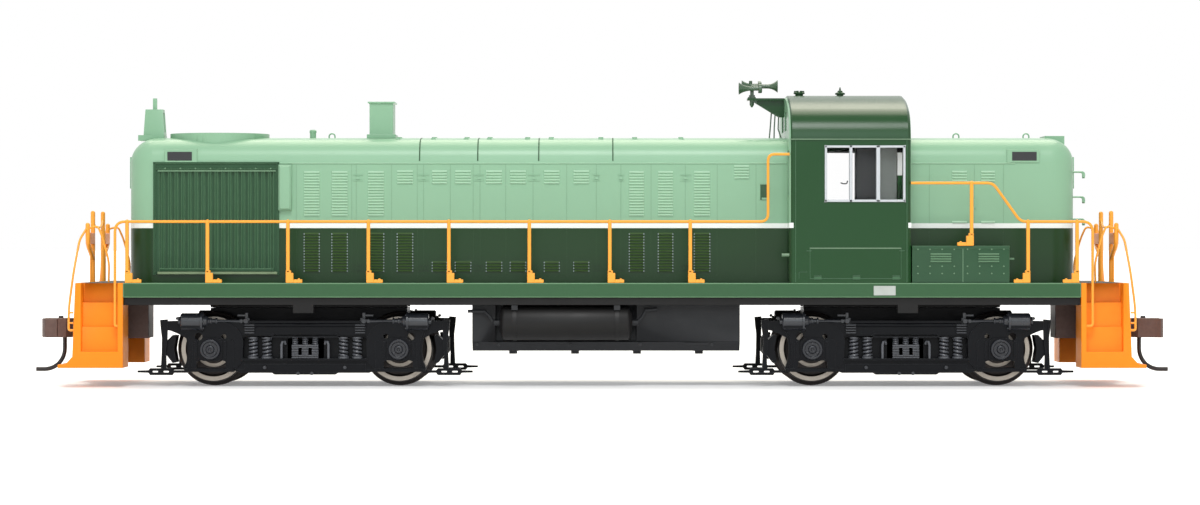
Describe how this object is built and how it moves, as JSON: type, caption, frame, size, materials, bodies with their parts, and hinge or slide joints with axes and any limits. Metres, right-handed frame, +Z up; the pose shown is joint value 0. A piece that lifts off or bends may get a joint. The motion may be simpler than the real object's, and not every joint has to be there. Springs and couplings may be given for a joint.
{
  "type": "model diesel locomotive",
  "caption": "scale model of a road-switcher diesel with a long and a short hood, a cab between them, swivelling trucks, walkway railings and knuckle couplers",
  "frame": {"origin": "midway between the couplers, on the track's centre line, at the lowest points of the wheel flanges", "axes": "+X along the track with the cab nearer +X, +Y across the track, +Z up"},
  "size_m": [0.2022, 0.0356, 0.0543],
  "materials": {
    "hood_paint": "satin light green paint",
    "deck_paint": "satin dark green paint",
    "cab_paint": "satin dark green paint",
    "shutter_paint": "dark green paint",
    "orange_paint": "satin orange paint",
    "black_plastic": "bare black moulding",
    "horn_metal": "dark green paint",
    "coupler_metal": "rust brown moulding",
    "dark_wire": "blackened wire",
    "window_silver": "silver paint",
    "window_glass": "clear moulding",
    "lamp_lens": "clear moulded lens",
    "wheel_metal": "turned nickel silver, darkened face",
    "axle_steel": "plain steel",
    "weight_metal": "die-cast weight with the motor in it"
  },
  "bodies": {
    "locomotive": {"long_hood": "hood_paint", "short_hood": "hood_paint", "radiator_ducts": "hood_paint", "fan_shroud": "hood_paint", "exhaust_stack": "hood_paint", "number_boards": "hood_paint", "bell": "hood_paint", "headlights": "hood_paint", "lift_eyes": "hood_paint", "visor": "hood_paint", "walkway": "deck_paint", "cab_walls": "cab_paint", "cab_roof": "cab_paint", "cab_vent_caps": "cab_paint", "horn_bracket": "cab_paint", "radiator_shutters": "shutter_paint", "battery_boxes": "shutter_paint", "pilots": "orange_paint", "side_handrails": "orange_paint", "stanchions": "orange_paint", "end_rails": "orange_paint", "chassis": "black_plastic", "fuel_tank": "black_plastic", "air_reservoirs": "black_plastic", "radiator_fan": "black_plastic", "cab_interior": "black_plastic", "cab_cabinets": "black_plastic", "horn": "horn_metal", "coupler_boxes": "coupler_metal", "window_frames": "window_silver", "cab_glass": "window_glass", "headlight_lenses": "lamp_lens", "weight_block": "weight_metal"},
    "truck_rear": {"truck_side_frames_rear": "black_plastic", "truck_gearbox_rear": "black_plastic"},
    "wheelset_rear_1": {"axle_rear_1": "axle_steel", "wheels_rear_1": "wheel_metal"},
    "wheelset_rear_2": {"axle_rear_2": "axle_steel", "wheels_rear_2": "wheel_metal"},
    "truck_front": {"truck_side_frames_front": "black_plastic", "truck_gearbox_front": "black_plastic"},
    "wheelset_front_1": {"axle_front_1": "axle_steel", "wheels_front_1": "wheel_metal"},
    "wheelset_front_2": {"axle_front_2": "axle_steel", "wheels_front_2": "wheel_metal"},
    "coupler_front": {"coupler_front": "coupler_metal", "knuckle_front": "coupler_metal", "trip_pin_front": "dark_wire"},
    "coupler_rear": {"coupler_rear": "coupler_metal", "knuckle_rear": "coupler_metal", "trip_pin_rear": "dark_wire"}
  },
  "joints": [
    {"name": "truck_swivel_rear", "type": "hinge", "parent": "locomotive", "child": "truck_rear", "pos_m": [-0.0519, 0, 0.0136], "axis": [0, 0, 1], "range_deg": [-8, 8]},
    {"name": "wheelset_spin_rear_1", "type": "hinge", "parent": "truck_rear", "child": "wheelset_rear_1", "pos_m": [-0.06823, 0, 0.00653], "axis": [0, 1, 0], "continuous": true},
    {"name": "wheelset_spin_rear_2", "type": "hinge", "parent": "truck_rear", "child": "wheelset_rear_2", "pos_m": [-0.03557, 0, 0.00653], "axis": [0, 1, 0], "continuous": true},
    {"name": "truck_swivel_front", "type": "hinge", "parent": "locomotive", "child": "truck_front", "pos_m": [0.0531, 0, 0.0136], "axis": [0, 0, 1], "range_deg": [-8, 8]},
    {"name": "wheelset_spin_front_1", "type": "hinge", "parent": "truck_front", "child": "wheelset_front_1", "pos_m": [0.03677, 0, 0.00653], "axis": [0, 1, 0], "continuous": true},
    {"name": "wheelset_spin_front_2", "type": "hinge", "parent": "truck_front", "child": "wheelset_front_2", "pos_m": [0.06943, 0, 0.00653], "axis": [0, 1, 0], "continuous": true},
    {"name": "coupler_swing_front", "type": "hinge", "parent": "locomotive", "child": "coupler_front", "pos_m": [0.0845, 0, 0.01], "axis": [0, 0, 1], "range_deg": [-10, 10], "stiffness_Nm_per_rad": 0.0001},
    {"name": "coupler_swing_rear", "type": "hinge", "parent": "locomotive", "child": "coupler_rear", "pos_m": [-0.0845, 0, 0.01], "axis": [0, 0, 1], "range_deg": [-10, 10], "stiffness_Nm_per_rad": 0.0001}
  ]
}
